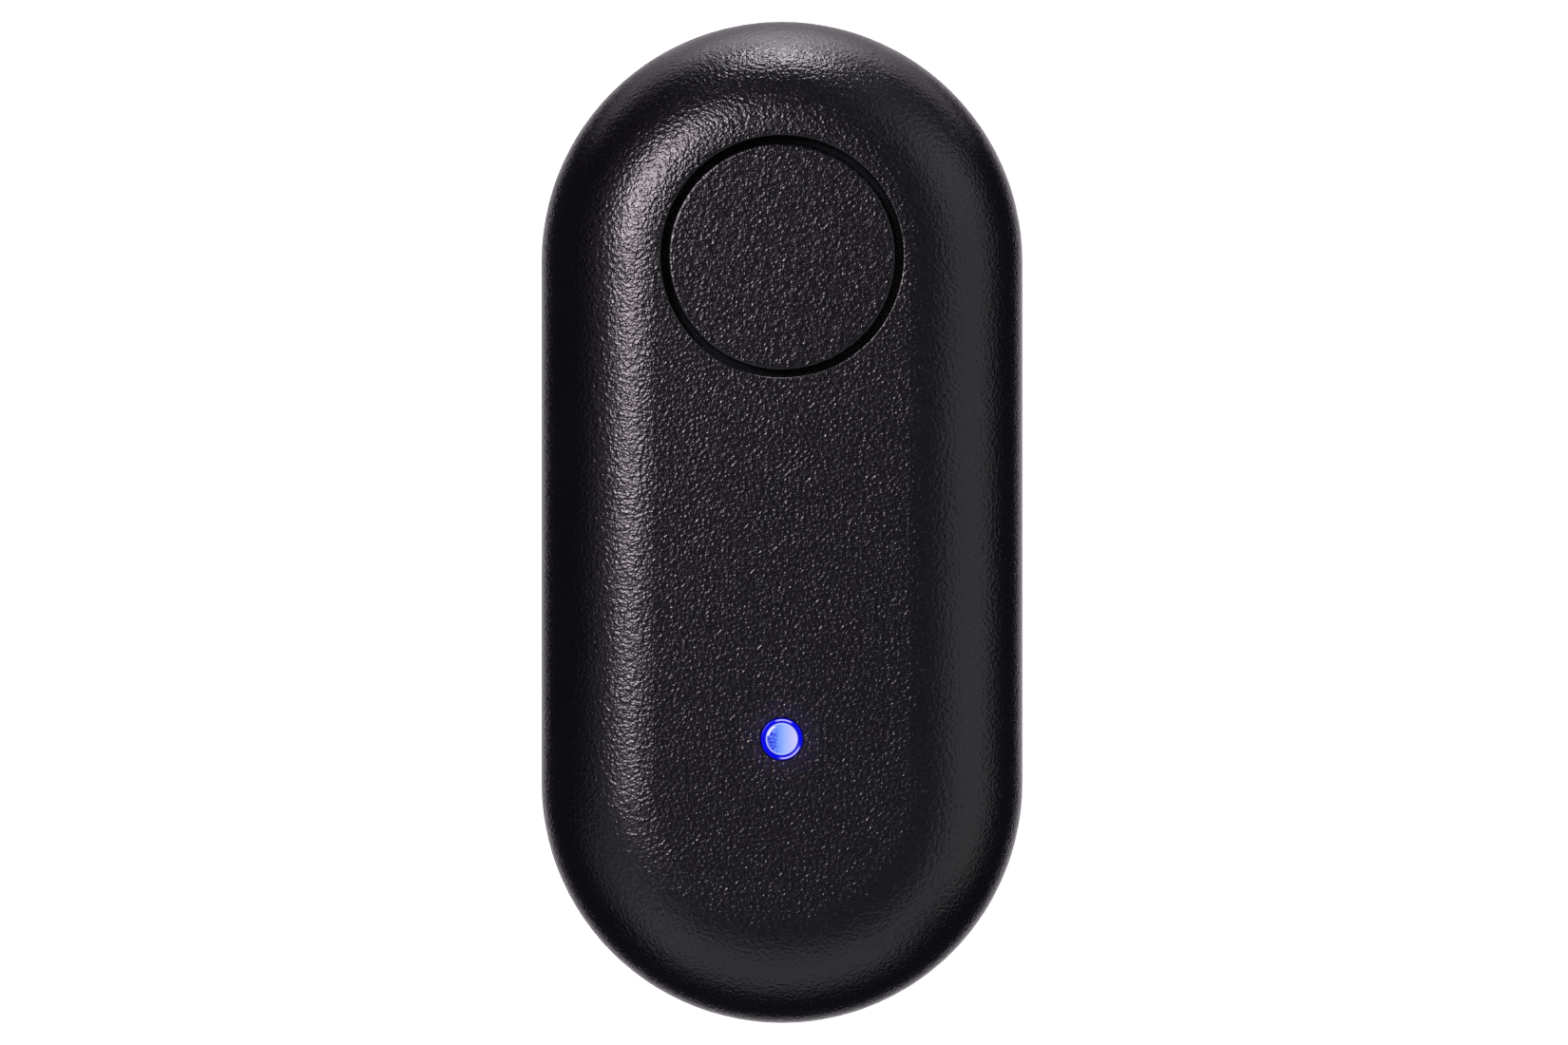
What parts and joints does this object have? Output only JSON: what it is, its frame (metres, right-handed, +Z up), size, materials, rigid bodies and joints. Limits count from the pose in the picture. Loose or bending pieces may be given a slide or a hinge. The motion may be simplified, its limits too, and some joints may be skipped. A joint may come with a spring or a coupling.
{
  "type": "camera shutter remote",
  "caption": "Pill-shaped handheld remote with a round push button, a round status light and a coin-turned battery cover on its flat back.",
  "frame": {"origin": "middle of the flat back, on the surface that the remote lies on", "axes": "+X across the width, +Y along the length towards the button, +Z up out of the button's face"},
  "size_m": [0.025, 0.052, 0.01],
  "materials": {
    "housing_abs": "matte",
    "button_abs": "matte",
    "light_guide_acrylic": "gloss",
    "screw_steel": "satin",
    "solder_mask": "satin",
    "copper": "satin",
    "chip_epoxy": "matte",
    "tinned_metal": "satin",
    "capacitor_ceramic": "matte",
    "resistor_ceramic": "satin",
    "led_plastic": "satin",
    "led_resin": "gloss",
    "plunger_plastic": "satin",
    "spring_metal": "satin",
    "cell_steel": "satin",
    "gasket_plastic": "satin",
    "electrode_pellet": "matte"
  },
  "bodies": {
    "housing": {"top_shell": "housing_abs", "bottom_shell": "housing_abs", "housing_screws": "screw_steel", "light_guide": "light_guide_acrylic", "circuit_board": "solder_mask", "antenna_trace": "copper", "bluetooth_chip": "chip_epoxy", "chip_leads": "tinned_metal", "crystal": "tinned_metal", "capacitors": "capacitor_ceramic", "resistors": "resistor_ceramic", "led_base": "led_plastic", "led_lens": "led_resin", "switch_housing": "chip_epoxy", "switch_cover": "tinned_metal", "switch_dome": "spring_metal", "switch_leads": "tinned_metal", "cell_can": "cell_steel", "cell_cap": "cell_steel", "cell_gasket": "gasket_plastic", "cell_electrodes": "electrode_pellet", "positive_contact": "spring_metal", "negative_contact": "spring_metal"},
    "button": {"shutter_button": "button_abs"},
    "plunger": {"switch_plunger": "plunger_plastic"},
    "cover": {"battery_cover": "housing_abs"}
  },
  "joints": [
    {"name": "button_press", "type": "slide", "parent": "housing", "child": "button", "axis": [0, 0, -1], "range_m": [0, 0.0003], "stiffness_N_per_m": 8000},
    {"name": "plunger_press", "type": "slide", "parent": "housing", "child": "plunger", "axis": [0, 0, -1], "range_m": [0, 0.0003], "deforming": ["switch_dome"]},
    {"name": "cover_turn", "type": "hinge", "parent": "housing", "child": "cover", "pos_m": [0, -0.008, 0], "axis": [0, 0, -1], "range_deg": [0, 45]}
  ],
  "couplings": [
    {"joint": "plunger_press", "follows": "button_press", "ratio": 1}
  ]
}
